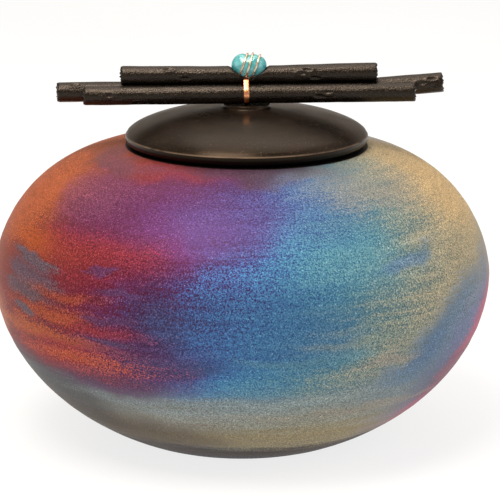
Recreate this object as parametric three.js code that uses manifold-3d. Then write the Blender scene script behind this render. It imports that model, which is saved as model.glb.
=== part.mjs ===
// Funeral urn: a squat fumed clay vessel with a loose domed lid. The lid's handle is three dark
// twigs bound to a short post by a copper strap, with a wire-wrapped turquoise bead in a notch.
// Millimetres, +Z up. The origin is the middle of the foot, on the surface the urn stands on.

import * as THREE from 'three';
import { mergeVertices } from 'three/addons/utils/BufferGeometryUtils.js';
import Module from 'manifold-3d';

const wasm = await Module();
wasm.setup();

// Vessel
const bellyRadius = 120;
const bellyHeight = 79.5;
const shoulderRise = 63.7;
const footRadius = 55;
const vesselWall = 6;
const vesselFloor = 7;
const footRingWidth = 9;
const footRecess = 1.6;
const mouthRadius = 43;
const lipEdgeRadius = 1.2;
// Exponents of the vessel's curves: 2 and 2 would be an ellipse.
const flankDropPower = 1.94;
const flankReachPower = 1.97;
const shoulderRisePower = 1.7;
const shoulderReachPower = 3.83;

// Lid
const lidRadius = 58.3;
const lidRimThickness = 3.2;
const lidUnderBevel = 1.2;
const lidSeatOverhang = 2.3;
const lidWall = 6;
const domeRise = 15.1;
const domePower = 0.62;
const flangeClearance = 3.1;
const flangeThickness = 4.5;
const flangeDepth = 8;
const postRadius = 11.4;
const postHeight = 1.9;
// The lid lies a little to the right of the vessel's axis, within the flange's play.
const lidShift = 2.3;

// Twigs
const frontTwigRadius = 4.65;
const frontTwigEnds = [-75.8, 83.2];
const backTwigRadius = 4.85;
const backTwigEnds = [-89.1, 96.8];
const upperTwigRadius = 4.75;
const upperTwigEnds = [-58.2, 64.9];
const frontTwigLean = 0.0123;
const backTwigLean = 0.0139;
const backTwigKick = 0.07;
const backTwigKickStart = 62;
const barkDepth = 0.3;
const notchWidth = 20.1;
const notchFloorWidth = 8;
const notchDepth = 7.6;
const notchCentre = 3.35;

// Strap
const strapWidth = 2.7;
const strapThickness = 0.5;
const strapCentre = 2.2;

// Bead and its wire
const beadLength = 16.7;
const beadDepth = 10.4;
const beadHeight = 11.6;
const beadCentre = 3.4;
const wireRadius = 0.4;
const wireTurns = 3.25;
const wireStart = 5.1;
const wireEnd = -4.4;
const wireSlant = 2.6;

// The gap that is left between pieces that touch.
const touchGap = 0.3;

const finishes = {
  glaze: new THREE.MeshStandardMaterial({ color: 0x5a5c80, roughness: 0.5, metalness: 0.35 }),
  lid: new THREE.MeshStandardMaterial({ color: 0x3a322b, roughness: 0.55, metalness: 0.0 }),
  twig: new THREE.MeshStandardMaterial({ color: 0x2a2420, roughness: 0.5, metalness: 0.0 }),
  copper: new THREE.MeshStandardMaterial({ color: 0xd07a45, roughness: 0.3, metalness: 1.0 }),
  turquoise: new THREE.MeshStandardMaterial({ color: 0x4fb3b0, roughness: 0.3, metalness: 0.0 }),
  wire: new THREE.MeshStandardMaterial({ color: 0xc89a7a, roughness: 0.35, metalness: 1.0 }),
};

// A run of evenly spaced numbers from first to last.
function steps(first, last, count) {
  return Array.from({ length: count + 1 }, (_, i) => first + ((last - first) * i) / count);
}

// A quarter-round of a profile, about a centre, between two angles in degrees.
function arcPoints(centreR, centreZ, radius, fromDegrees, toDegrees, count) {
  return steps(fromDegrees, toDegrees, count).map((degrees) => {
    const angle = THREE.MathUtils.degToRad(degrees);
    return [centreR + radius * Math.cos(angle), centreZ + radius * Math.sin(angle)];
  });
}

// A solid of revolution about Z from a profile of [radius, height] pairs.
function turned(profile, segments) {
  const points = profile.map(([r, z]) => new THREE.Vector2(r, z));
  return new THREE.LatheGeometry(points, segments).rotateX(Math.PI / 2);
}

// Geometry to boolean solid, with shared corners merged and empty triangles dropped.
function toSolid(geometry) {
  const bare = geometry.clone();
  bare.deleteAttribute('normal');
  bare.deleteAttribute('uv');
  const merged = mergeVertices(bare, 1e-4);
  const index = merged.index.array;
  const corners = [];
  for (let i = 0; i < index.length; i += 3) {
    const [a, b, c] = [index[i], index[i + 1], index[i + 2]];
    if (a !== b && b !== c && c !== a) corners.push(a, b, c);
  }
  return new wasm.Manifold(
    new wasm.Mesh({
      numProp: 3,
      vertProperties: new Float32Array(merged.attributes.position.array),
      triVerts: new Uint32Array(corners),
    }),
  );
}

function toGeometry(solid) {
  const mesh = solid.getMesh();
  const geometry = new THREE.BufferGeometry();
  geometry.setAttribute('position', new THREE.BufferAttribute(mesh.vertProperties, 3));
  geometry.setIndex(new THREE.BufferAttribute(mesh.triVerts, 1));
  geometry.computeVertexNormals();
  return geometry;
}

function cut(geometry, tool) {
  return toGeometry(toSolid(geometry).subtract(toSolid(tool)));
}

// Moves every corner of a geometry to the place that a function of its old place gives.
function reshape(geometry, place) {
  const position = geometry.attributes.position;
  const corner = new THREE.Vector3();
  for (let i = 0; i < position.count; i += 1) {
    corner.fromBufferAttribute(position, i);
    place(corner);
    position.setXYZ(i, corner.x, corner.y, corner.z);
  }
  geometry.computeVertexNormals();
  return geometry;
}

// Vessel profile. The flank drops from the belly to the foot and the shoulder rises to the seat.
const flankDrop = bellyHeight
  / (1 - (footRadius / bellyRadius) ** flankReachPower) ** (1 / flankDropPower);

function flankRadius(height, inset) {
  const drop = (bellyHeight - height) / (flankDrop - inset);
  return (bellyRadius - inset) * (1 - drop ** flankDropPower) ** (1 / flankReachPower);
}

function shoulderPoint(radius, inset) {
  const reach = radius / (bellyRadius - inset);
  const rise = (1 - reach ** shoulderReachPower) ** (1 / shoulderRisePower);
  return [radius, bellyHeight + (shoulderRise - inset) * rise];
}

// Radii that crowd towards the belly, where the shoulder is steep.
function shoulderRadii(inset, innerRadius, count) {
  const outer = bellyRadius - inset;
  return steps(0, 1, count).map((t) => outer - (outer - innerRadius) * t ** 2);
}

const seatRadius = lidRadius - lidSeatOverhang;
const seatHeight = shoulderPoint(seatRadius, 0)[1];

function vesselGeometry() {
  const foot = footRadius - footRingWidth;
  const flank = steps(0, bellyHeight, 9).map((z) => [flankRadius(z, 0), z]);
  const shoulder = shoulderRadii(0, seatRadius, 9).slice(1).map((r) => shoulderPoint(r, 0));
  const lip = arcPoints(mouthRadius + lipEdgeRadius, seatHeight - lipEdgeRadius, lipEdgeRadius, 90, 180, 2);
  const underShoulder = shoulderRadii(vesselWall, mouthRadius, 7).reverse()
    .map((r) => shoulderPoint(r, vesselWall));
  const innerFlank = steps(bellyHeight, vesselFloor, 7).slice(1)
    .map((z) => [flankRadius(z, vesselWall), z]);
  const profile = [
    [0, footRecess],
    [foot, footRecess],
    [foot + footRecess, 0],
    ...flank,
    ...shoulder,
    ...lip,
    ...underShoulder,
    ...innerFlank,
    [0, vesselFloor],
  ];
  return turned(profile, 56);
}

// Lid profile
const lidUnderside = seatHeight + touchGap;
const lidEdgeHeight = lidUnderside + lidRimThickness;
const flangeRadius = mouthRadius - flangeClearance;

function domeHeight(radius) {
  return lidEdgeHeight + domeRise * (1 - (radius / lidRadius) ** 2) ** domePower;
}

function domeUnderHeight(radius) {
  const reach = radius / (lidRadius - lidWall);
  return lidEdgeHeight - lidWall + domeRise * (1 - reach ** 2) ** domePower;
}

const postTop = domeHeight(postRadius) + postHeight;

function lidGeometry() {
  const flangeInner = flangeRadius - flangeThickness;
  const underDome = steps(0, flangeInner, 4).map((r) => [r, domeUnderHeight(r)]);
  const domeRadii = steps(0, 1, 8).map((t) => lidRadius - (lidRadius - postRadius) * t ** 1.6);
  const profile = [
    ...underDome,
    [flangeInner, lidUnderside - flangeDepth],
    [flangeRadius, lidUnderside - flangeDepth],
    [flangeRadius, lidUnderside],
    [lidRadius - lidUnderBevel, lidUnderside],
    [lidRadius, lidUnderside + lidUnderBevel],
    ...domeRadii.map((r) => [r, domeHeight(r)]),
    [postRadius, postTop],
    [0, postTop],
  ];
  return turned(profile, 52).translate(lidShift, 0, 0);
}

// Twigs. The lower two lie side by side on the post and the upper one lies in their groove.
const twigRest = postTop + touchGap;
const frontTwig = {
  ends: frontTwigEnds,
  radius: frontTwigRadius,
  y: -frontTwigRadius - touchGap / 2,
  lean: frontTwigLean,
  z: twigRest + frontTwigRadius + frontTwigLean * postRadius,
  slants: [0.12, -0.1],
  scars: [[-64, 1.2, 0.9, 7], [40, 1.4, 0.6, 5], [-48, 5.0, 0.6, 5]],
};
const backTwig = {
  ends: backTwigEnds,
  radius: backTwigRadius,
  y: backTwigRadius + touchGap / 2,
  lean: backTwigLean,
  z: twigRest + backTwigRadius + backTwigLean * postRadius,
  slants: [-0.06, 0.1],
  scars: [[88, 1.9, 0.9, 6], [80, 2.6, 0.7, 5], [-70, 1.7, 0.5, 6]],
};

// Height at which a twig lies on another, from their sizes and places across the groove.
function heightOver(lower, radius, y) {
  const reach = radius + lower.radius + touchGap;
  return lower.z + Math.sqrt(Math.max(reach ** 2 - (y - lower.y) ** 2, 0));
}

const upperTwigY = (frontTwig.y + backTwig.y) / 2;
const upperTwig = {
  ends: upperTwigEnds,
  radius: upperTwigRadius,
  y: upperTwigY,
  lean: Math.max(frontTwigLean, backTwigLean),
  z: Math.max(
    heightOver(frontTwig, upperTwigRadius, upperTwigY),
    heightOver(backTwig, upperTwigRadius, upperTwigY),
  ),
  slants: [0.08, 0.05],
  scars: [[-34, 1.5, 0.7, 4], [33, 1.5, 0.8, 4], [52, 4.6, 0.5, 6]],
};

// Height of a twig's middle line at x: it leans, and the back one kicks up near its right end.
function twigHeight(twig, x) {
  const past = twig === backTwig ? Math.max(x - backTwigKickStart, 0) : 0;
  return twig.z + twig.lean * (x - lidShift) + backTwigKick * past;
}

// How far the bark lies under the twig's full radius: grooves along it and a few scars, each
// given as its place along the twig, its angle round it, its depth and its half length.
function barkInset(twig, x, angle) {
  const grooves = 1 + 0.5 * Math.sin(3 * angle + x / 17 + twig.radius) + 0.5 * Math.sin(5 * angle - x / 11);
  const scars = twig.scars.reduce((sum, [at, turn, depth, reach]) => {
    const along = (x - at) / reach;
    const round = Math.atan2(Math.sin(angle - turn), Math.cos(angle - turn)) / 0.6;
    return sum + depth * Math.exp(-(along ** 2) - round ** 2);
  }, 0);
  return barkDepth * grooves * 0.5 + scars;
}

function twigGeometry(twig) {
  const [left, right] = twig.ends;
  const bar = new THREE.CylinderGeometry(1, 1, 1, 12, 22).rotateZ(-Math.PI / 2);
  return reshape(bar, (corner) => {
    const share = corner.x + 0.5;
    const x = left + share * (right - left);
    const angle = Math.atan2(corner.z, corner.y);
    const radial = Math.hypot(corner.y, corner.z);
    const reach = radial * (twig.radius - barkInset(twig, x, angle));
    const slant = twig.slants[0] * (1 - share) + twig.slants[1] * share;
    corner.set(
      x + slant * reach * Math.sin(angle),
      twig.y + reach * Math.cos(angle),
      twigHeight(twig, x) + reach * Math.sin(angle),
    );
  });
}

// The notch in the upper twig is a flat floor between two slanting faces.
const notchTop = twigHeight(upperTwig, notchCentre) + upperTwigRadius;
const notchFloor = notchTop - notchDepth;

function notchTool() {
  const slope = (notchWidth - notchFloorWidth) / 2 / notchDepth;
  const rise = notchDepth + upperTwigRadius;
  const halfFloor = notchFloorWidth / 2;
  const halfTop = halfFloor + slope * rise;
  const outline = new THREE.Shape([
    new THREE.Vector2(-halfFloor, 0),
    new THREE.Vector2(halfFloor, 0),
    new THREE.Vector2(halfTop, rise),
    new THREE.Vector2(-halfTop, rise),
  ]);
  const across = 4 * upperTwigRadius;
  return new THREE.ExtrudeGeometry(outline, { depth: across, bevelEnabled: false })
    .rotateX(Math.PI / 2)
    .translate(notchCentre, upperTwig.y + across / 2, notchFloor);
}

// The strap's loop is the tight outline round the twigs' sections, kept under the notch's floor.
function tightOutline(points) {
  const sorted = [...points].sort((a, b) => a.x - b.x || a.y - b.y);
  const half = (list) => {
    const chain = [];
    for (const point of list) {
      while (chain.length > 1) {
        const [a, b] = chain.slice(-2);
        if ((b.x - a.x) * (point.y - a.y) - (b.y - a.y) * (point.x - a.x) > 1e-9) break;
        chain.pop();
      }
      chain.push(point);
    }
    return chain.slice(0, -1);
  };
  return [...half(sorted), ...half(sorted.reverse())];
}

function loopRound(clearance) {
  const points = [frontTwig, backTwig, upperTwig].flatMap((twig) => {
    const z = twigHeight(twig, strapCentre);
    const reach = twig.radius + clearance;
    return steps(0, 2 * Math.PI, 28).slice(1).map((angle) => new THREE.Vector2(
      twig.y + reach * Math.cos(angle),
      Math.min(z + reach * Math.sin(angle), notchFloor + clearance),
    ));
  });
  return tightOutline(points);
}

function strapGeometry() {
  const band = new THREE.Shape(loopRound(touchGap + strapThickness));
  band.holes.push(new THREE.Path(loopRound(touchGap)));
  const strap = new THREE.ExtrudeGeometry(band, { depth: strapWidth, bevelEnabled: false });
  // The outline's plane turns from XY to YZ, and the band's width runs along X.
  strap.applyMatrix4(new THREE.Matrix4().makeBasis(
    new THREE.Vector3(0, 1, 0),
    new THREE.Vector3(0, 0, 1),
    new THREE.Vector3(1, 0, 0),
  ));
  return strap.translate(strapCentre - strapWidth / 2, 0, 0);
}

// The slot lets the strap pass between the lower twigs and the post.
function strapSlotTool() {
  const low = Math.min(
    twigHeight(frontTwig, strapCentre) - frontTwigRadius,
    twigHeight(backTwig, strapCentre) - backTwigRadius,
  ) - 2 * touchGap - strapThickness;
  const height = postTop - low + postHeight;
  return new THREE.BoxGeometry(strapWidth + 2 * touchGap, 4 * postRadius, height)
    .translate(strapCentre, 0, low + height / 2);
}

// The bead is a lumpy nugget of two lobes that lies on the wire over the strap.
const wireRoom = 2 * touchGap + 2 * wireRadius;
const beadUnderside = notchFloor + touchGap + strapThickness + wireRoom;
const bead = new THREE.Vector3(beadCentre, upperTwig.y, beadUnderside + beadHeight / 2);

// Surface of the bead in the direction of a share along it (-1 to 1) and an angle round X.
function beadPoint(share, angle, proud) {
  const swell = Math.sqrt(Math.max(1 - share ** 2, 0));
  const up = Math.sin(angle);
  const dip = 0.11 * Math.exp(-(((share + 0.05) / 0.2) ** 2)) * Math.max(up, 0) ** 2;
  const lump = 0.05 * Math.sin(3.1 * share + 2 * angle + 0.8) * swell - 0.04 * Math.max(share, 0) * up;
  const round = swell * (0.97 - dip + lump);
  return new THREE.Vector3(
    bead.x + (share * beadLength) / 2,
    bead.y + ((round * beadDepth) / 2 + proud) * Math.cos(angle),
    bead.z + ((round * beadHeight) / 2 + proud) * up,
  );
}

function beadGeometry() {
  const ball = new THREE.SphereGeometry(1, 20, 14).rotateZ(-Math.PI / 2);
  return reshape(ball, (corner) => {
    const angle = Math.atan2(corner.z, corner.y);
    corner.copy(beadPoint(corner.x, angle, 0));
  });
}

// The wire winds round the bead from right to left, slanting down across its front.
function wireGeometry() {
  const proud = touchGap + wireRadius;
  const path = new THREE.CatmullRomCurve3(steps(0, 1, 60).map((t) => {
    const angle = Math.PI / 2 + 2 * Math.PI * wireTurns * t;
    const along = wireStart + (wireEnd - wireStart) * t + wireSlant * 0.5 * Math.sin(angle);
    return beadPoint((2 * along) / beadLength, angle, proud);
  }));
  const section = new THREE.Shape(steps(0, 2 * Math.PI, 6).slice(1).map(
    (angle) => new THREE.Vector2(wireRadius * Math.cos(angle), wireRadius * Math.sin(angle)),
  ));
  return new THREE.ExtrudeGeometry(section, { steps: 66, bevelEnabled: false, extrudePath: path });
}

const urn = new THREE.Group();
urn.name = 'funeral_urn';

function addPiece(name, geometry, finish) {
  const piece = new THREE.Mesh(geometry, finish);
  piece.name = name;
  urn.add(piece);
}

addPiece('urn_body', vesselGeometry(), finishes.glaze);
addPiece('lid', cut(lidGeometry(), strapSlotTool()), finishes.lid);
addPiece('stick_front', twigGeometry(frontTwig), finishes.twig);
addPiece('stick_back', twigGeometry(backTwig), finishes.twig);
addPiece('stick_upper', cut(twigGeometry(upperTwig), notchTool()), finishes.twig);
addPiece('copper_strap', strapGeometry(), finishes.copper);
addPiece('turquoise_bead', beadGeometry(), finishes.turquoise);
addPiece('bead_wire', wireGeometry(), finishes.wire);

export default urn;
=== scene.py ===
"""A fumed clay funeral urn: its glaze, its smoked lid, and the bound twigs, strap, bead and wire."""

import logging
import math
from dataclasses import dataclass, field
from enum import Enum
from typing import Any, Iterable, Sequence

import bmesh
import bpy
from mathutils import Euler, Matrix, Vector, noise


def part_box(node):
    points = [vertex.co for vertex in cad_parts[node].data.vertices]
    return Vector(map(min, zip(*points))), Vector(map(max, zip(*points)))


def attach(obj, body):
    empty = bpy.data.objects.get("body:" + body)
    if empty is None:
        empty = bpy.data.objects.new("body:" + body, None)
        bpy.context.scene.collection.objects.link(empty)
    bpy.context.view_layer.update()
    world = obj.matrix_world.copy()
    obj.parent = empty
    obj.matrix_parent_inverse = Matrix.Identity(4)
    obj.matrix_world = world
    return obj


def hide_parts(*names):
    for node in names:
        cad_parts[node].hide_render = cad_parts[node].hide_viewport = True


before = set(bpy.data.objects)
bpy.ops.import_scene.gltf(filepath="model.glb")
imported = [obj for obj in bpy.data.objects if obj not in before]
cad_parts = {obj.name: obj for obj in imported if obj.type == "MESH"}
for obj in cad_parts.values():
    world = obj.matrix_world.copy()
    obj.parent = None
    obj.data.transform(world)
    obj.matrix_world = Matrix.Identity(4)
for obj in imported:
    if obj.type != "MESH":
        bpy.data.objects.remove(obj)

log = logging.getLogger("urn")

MM = 0.001
NOISE_TOP = 0.62  # noise seldom passes it, so ridges and chips lie mostly below the skin
CHIP_REACH = 1.2 * MM
TEETH_PER_METRE = 620.0
TOOL_MARKS_PER_METRE = 700.0
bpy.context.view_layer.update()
Point = tuple[float, float]
Tree = bpy.types.NodeTree
Socket = bpy.types.NodeSocket
Piece = bpy.types.Object
Material = bpy.types.Material


def linear(code: str) -> tuple[float, float, float, float]:
    """Turns an sRGB hex colour into Blender's linear colour.

    Args:
        code: six hex digits, such as "4FB3B0".

    Returns:
        Linear red, green and blue with an alpha of 1.
    """
    parts = [int(code[i:i + 2], 16) / 255 for i in (0, 2, 4)]
    channels = [c / 12.92 if c <= 0.04045 else ((c + 0.055) / 1.055) ** 2.4 for c in parts]
    return channels[0], channels[1], channels[2], 1.0


def put(tree: Tree, kind: str, inputs: dict[Any, Any] | None = None, **settings: Any) -> bpy.types.Node:
    """Adds a node with its settings and fills or links its inputs.

    Args:
        tree: the node tree that gets the node.
        kind: the node's Blender type name.
        inputs: socket name or number to a plain value or to an output socket.
        settings: the node's own properties.

    Returns:
        The new node.
    """
    node = tree.nodes.new(kind)
    for name, value in settings.items():
        setattr(node, name, value)
    for key, value in (inputs or {}).items():
        if isinstance(value, Socket):
            tree.links.new(value, node.inputs[key])
        else:
            node.inputs[key].default_value = value
    return node


def calc(tree: Tree, operation: str, *values: Any, clamp: bool = False) -> Socket:
    """Adds one sum of plain numbers or sockets to a node tree, clamped to 0 to 1 if asked."""
    node = put(tree, "ShaderNodeMath", dict(enumerate(values)), operation=operation, use_clamp=clamp)
    return node.outputs[0]


def plus(tree: Tree, one: Any, other: Any) -> Socket:
    """One value plus another."""
    return calc(tree, "ADD", one, other)


def minus(tree: Tree, one: Any, other: Any) -> Socket:
    """One value less another."""
    return calc(tree, "SUBTRACT", one, other)


def times(tree: Tree, one: Any, other: Any) -> Socket:
    """One value times another."""
    return calc(tree, "MULTIPLY", one, other)


def vector(tree: Tree, operation: str, *values: Any, scale: Any = None) -> Socket:
    """Adds one vector sum to a node tree.

    Args:
        tree: the node tree.
        operation: the Vector Math node's operation, such as "ADD".
        values: plain vectors or sockets, in the node's order.
        scale: the factor, for "SCALE" alone.

    Returns:
        The socket that holds the result, which is a number for "LENGTH".
    """
    inputs: dict[Any, Any] = dict(enumerate(values))
    if scale is not None:
        inputs["Scale"] = scale
    node = put(tree, "ShaderNodeVectorMath", inputs, operation=operation)
    return node.outputs["Value" if operation == "LENGTH" else "Vector"]


def xyz(tree: Tree, place: Socket) -> tuple[Socket, ...]:
    """The X, Y and Z of a vector."""
    return tuple(put(tree, "ShaderNodeSeparateXYZ", {0: place}).outputs)


def position(tree: Tree) -> Socket:
    """Where each point of a geometry lies."""
    return put(tree, "GeometryNodeInputPosition").outputs[0]


def bell(tree: Tree, value: Socket) -> Socket:
    """A smooth bump of height 1 where a value is 0, gone by about 2."""
    return calc(tree, "POWER", math.e, times(tree, times(tree, value, value), -1.0))


def steps(first: float, last: float, count: int) -> list[float]:
    """Evenly spaced numbers from first to last, both included."""
    return [first + (last - first) * i / count for i in range(count + 1)]


def arc(centre: Point, radius: float, start: float, end: float, count: int) -> list[Point]:
    """Points along an arc of a profile, from a start to an end angle in degrees, in count stretches."""
    angles = [math.radians(a) for a in steps(start, end, count)]
    return [(centre[0] + radius * math.cos(a), centre[1] + radius * math.sin(a)) for a in angles]


class Surface:
    """Starts a material: the tree, its shader and the coordinates that its patterns read."""

    def __init__(self, name: str, **plain: Any) -> None:
        """Makes the material.

        Args:
            name: the material's name.
            plain: shader inputs that are the same all over, with _ for a space.
        """
        self.material = bpy.data.materials.new(name)
        self.material.use_nodes = True
        self.tree = self.material.node_tree
        self.shader = next(n for n in self.tree.nodes if n.type == "BSDF_PRINCIPLED")
        for key, value in plain.items():
            self.shader.inputs[key.replace("_", " ")].default_value = value
        self.place = put(self.tree, "ShaderNodeTexCoord").outputs["Object"]

    def height(self) -> Socket:
        """The height over the floor."""
        return xyz(self.tree, self.place)[2]

    def grain(self, length_mm: Sequence[float], detail: float = 2.0, seed: float = 0.0) -> Socket:
        """Noise whose marks have a real size along each axis.

        Args:
            length_mm: the marks' length along X, Y and Z.
            detail: how much finer noise lies on the marks.
            seed: moves the pattern, so that two patterns differ.

        Returns:
            The noise, from about 0.25 to 0.75.
        """
        scale = [1 / (size * MM) for size in length_mm]
        moved = put(self.tree, "ShaderNodeMapping", {"Vector": self.place, "Scale": scale,
                                                    "Location": (seed, seed * 1.7, seed * 0.6)})
        return put(self.tree, "ShaderNodeTexNoise", {"Vector": moved.outputs[0], "Scale": 1.0,
                                                    "Detail": detail, "Roughness": 0.6}).outputs["Fac"]

    def spread(self, value: Socket, low: float, high: float, to_low: float = 0.0,
               to_high: float = 1.0, smooth: bool = True) -> Socket:
        """Stretches a range of a value over another range.

        Args:
            value: what is stretched.
            low: the value that becomes to_low.
            high: the value that becomes to_high.
            to_low: the result at low.
            to_high: the result at high.
            smooth: whether the step eases in and out.

        Returns:
            The stretched value.
        """
        kind = "SMOOTHSTEP" if smooth else "LINEAR"
        node = put(self.tree, "ShaderNodeMapRange", {"Value": value, "From Min": low, "From Max": high,
                                                    "To Min": to_low, "To Max": to_high},
                   interpolation_type=kind)
        return node.outputs["Result"]

    def mix(self, share: Any, under: Any, over: Any) -> Socket:
        """Lays one colour over another, with a share of how much of the upper one shows."""
        return put(self.tree, "ShaderNodeMix", {0: share, 6: under, 7: over}, data_type="RGBA",
                   clamp_result=True).outputs[2]

    def finish(self, colour: Socket, rough: Socket, height: Socket, depth_mm: float) -> Material:
        """Gives the shader its colour, its roughness and fine relief.

        Args:
            colour: the colour all over.
            rough: the roughness.
            height: the relief's height, from 0 to 1.
            depth_mm: how deep the relief is in the real thing.

        Returns:
            The finished material.
        """
        bump = put(self.tree, "ShaderNodeBump", {"Height": height, "Distance": depth_mm * MM,
                                                "Strength": 1.0})
        for name, socket in (("Base Color", colour), ("Roughness", rough), ("Normal", bump.outputs[0])):
            self.tree.links.new(socket, self.shader.inputs[name])
        return self.material


class Edge(Enum):
    """How a fumed cloud ends: its softness, and how far streaks and grain tear it."""

    SOFT = (1.1, 0.4, 1.3)
    GRAINY = (0.7, 0.6, 2.6)
    BRUSHED = (0.5, 1.5, 2.2)


@dataclass(frozen=True)
class Cloud:
    """One patch of colour on the vessel, mostly fumed colour and in a few places painted shade
    or painted sheen, whose reach and rise end where it is half faded.
    A cover under 1 leaves it mottled, and a tilt leans it, in degrees."""

    azimuth: float
    height: float
    reach: float
    rise: float
    colour: str
    strength: float = 1.0
    edge: Edge = Edge.SOFT
    cover: float = 1.0
    tilt: float = 0.0


@dataclass(frozen=True)
class Band:
    """A ring of colour round the vessel, between two heights with soft edges."""

    low: float
    high: float
    soft: float
    colour: str
    strength: float = 1.0


@dataclass
class Vessel:
    """The squat vessel, in millimetres."""

    belly_radius: float = 120.0
    belly_height: float = 79.5
    shoulder_rise: float = 63.7
    foot_radius: float = 55.0
    wall: float = 6.0
    floor: float = 7.0
    foot_ring: float = 9.0
    foot_recess: float = 1.6
    mouth_radius: float = 43.0
    lip_edge: float = 1.2
    seat_radius: float = 56.0
    flank_drop_power: float = 1.94
    flank_reach_power: float = 1.97
    shoulder_rise_power: float = 1.7
    shoulder_reach_power: float = 3.83

    def flank_radius(self, height: float, inset: float = 0.0) -> float:
        """Radius of the lower half at a height, inset from the outside by a wall."""
        share = 1 - (self.foot_radius / self.belly_radius) ** self.flank_reach_power
        drop = self.belly_height / share ** (1 / self.flank_drop_power) - inset
        fall = max(self.belly_height - height, 0.0) / drop
        share = (1 - fall ** self.flank_drop_power) ** (1 / self.flank_reach_power)
        return (self.belly_radius - inset) * share

    def shoulder_height(self, radius: float, inset: float = 0.0) -> float:
        """Height of the upper half at a radius, inset from the outside by a wall."""
        reach = min(radius / (self.belly_radius - inset), 1.0)
        rise = (1 - reach ** self.shoulder_reach_power) ** (1 / self.shoulder_rise_power)
        return self.belly_height + (self.shoulder_rise - inset) * rise

    def radius_at(self, height: float) -> float:
        """Outer radius at any height."""
        if height <= self.belly_height:
            return self.flank_radius(height)
        rise = min((height - self.belly_height) / self.shoulder_rise, 1.0)
        reach = 1 - rise ** self.shoulder_rise_power
        return self.belly_radius * reach ** (1 / self.shoulder_reach_power)

    def shoulder_radii(self, inset: float, inner: float, count: int) -> list[float]:
        """Radii from the belly to an inner one that crowd where the shoulder is steep."""
        outer = self.belly_radius - inset
        return [outer - (outer - inner) * t ** 2 for t in steps(0, 1, count)]

    def profile(self) -> list[Point]:
        """The closed outline from the middle of the foot round to the middle of the inner floor."""
        ring = self.foot_radius - self.foot_ring
        seat = self.shoulder_height(self.seat_radius)
        flank = [(self.flank_radius(z), z) for z in steps(0, self.belly_height, 60)]
        shoulder = [(r, self.shoulder_height(r)) for r in self.shoulder_radii(0, self.seat_radius, 54)]
        under = [(r, self.shoulder_height(r, self.wall))
                 for r in reversed(self.shoulder_radii(self.wall, self.mouth_radius, 26))]
        inner = [(self.flank_radius(z, self.wall), z)
                 for z in steps(self.belly_height, self.floor, 22)[1:]]
        foot = [(0.0, self.foot_recess), (ring * 0.5, self.foot_recess), (ring, self.foot_recess),
                (ring + self.foot_recess, 0.15), (ring + self.foot_recess + 0.3, 0.0)]
        lip = arc((self.mouth_radius + self.lip_edge, seat - self.lip_edge), self.lip_edge, 90, 180, 5)
        edge = [(self.foot_radius - 0.5, 0.0), (self.foot_radius - 0.1, 0.12)]
        return [*foot, *edge, *flank[1:], *shoulder[1:], *lip, *under, *inner, (0.0, self.floor)]


@dataclass
class Lid:
    """The domed lid with its post and locating flange, in millimetres."""

    vessel: Vessel
    radius: float = 58.3
    rim_thickness: float = 4.6
    under_bevel: float = 3.6
    rim_edge: float = 0.6
    wall: float = 6.0
    dome_rise: float = 13.7
    dome_power: float = 0.62
    flange_clearance: float = 3.1
    flange_thickness: float = 4.5
    flange_depth: float = 8.0
    post_radius: float = 11.4
    post_height: float = 1.9
    post_edge: float = 0.5
    shift: float = 2.3
    gap: float = 0.3

    @property
    def underside(self) -> float:
        """Height of the face that rests on the lip."""
        return self.vessel.shoulder_height(self.vessel.seat_radius) + self.gap

    @property
    def edge_height(self) -> float:
        """Height of the rim's upper edge."""
        return self.underside + self.rim_thickness

    def dome_height(self, radius: float) -> float:
        """Height of the dome's outside at a radius."""
        return self.edge_height + self.dome_rise * (1 - (radius / self.radius) ** 2) ** self.dome_power

    def under_height(self, radius: float) -> float:
        """Height of the hollow under the dome at a radius."""
        reach = radius / (self.radius - self.wall)
        return self.edge_height - self.wall + self.dome_rise * (1 - reach ** 2) ** self.dome_power

    @property
    def post_top(self) -> float:
        """Height of the post's flat top."""
        return self.dome_height(self.post_radius) + self.post_height

    def profile(self) -> list[Point]:
        """The outline from the middle of the hollow round to the middle of the post's top."""
        flange = self.vessel.mouth_radius - self.flange_clearance
        inner = flange - self.flange_thickness
        low = self.underside - self.flange_depth
        hollow = [(r, self.under_height(r)) for r in steps(0, inner, 14)]
        rim_radius = self.radius - self.rim_edge
        side = [(inner, low + 0.4), (inner + 0.4, low), (flange - 0.4, low), (flange, low + 0.4),
                (flange, self.underside), (self.radius - self.under_bevel, self.underside)]
        bevel = arc((self.radius - self.under_bevel, self.underside + self.under_bevel),
                    self.under_bevel, -60, 0, 4)
        rim = arc((rim_radius, self.edge_height - 0.1), self.rim_edge, 0, 62, 5)
        radii = [rim_radius - (rim_radius - self.post_radius - 1.0) * t ** 1.5 for t in steps(0, 1, 46)]
        dome = [(r, self.dome_height(r)) for r in radii if r < rim_radius - 0.25]
        foot = self.dome_height(self.post_radius)
        fillet = [(self.post_radius + 0.35, foot + 0.1), (self.post_radius, foot + 0.6)]
        top = arc((self.post_radius - self.post_edge, self.post_top - self.post_edge),
                  self.post_edge, 0, 90, 4)
        cap = [(r, self.post_top) for r in (self.post_radius * 0.8, self.post_radius * 0.5, 0.0)]
        return [*hollow, *side, *bevel, *rim, *dome, *fillet, *top, *cap]


def geometry_tree(name: str, inputs: dict[str, tuple[str, Any]]) -> tuple[Tree, Any]:
    """Starts a geometry tree with named inputs and one geometry output.

    Args:
        name: the tree's name.
        inputs: name to kind of socket and usual value.

    Returns:
        The tree and its inputs by name.
    """
    tree = bpy.data.node_groups.new(name, "GeometryNodeTree")
    for key, (kind, value) in {"Geometry": ("Geometry", None), **inputs}.items():
        socket = tree.interface.new_socket(name=key, in_out="INPUT", socket_type="NodeSocket" + kind)
        if value is not None:
            socket.default_value = value
    tree.interface.new_socket(name="Geometry", in_out="OUTPUT", socket_type="NodeSocketGeometry")
    return tree, put(tree, "NodeGroupInput").outputs


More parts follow.
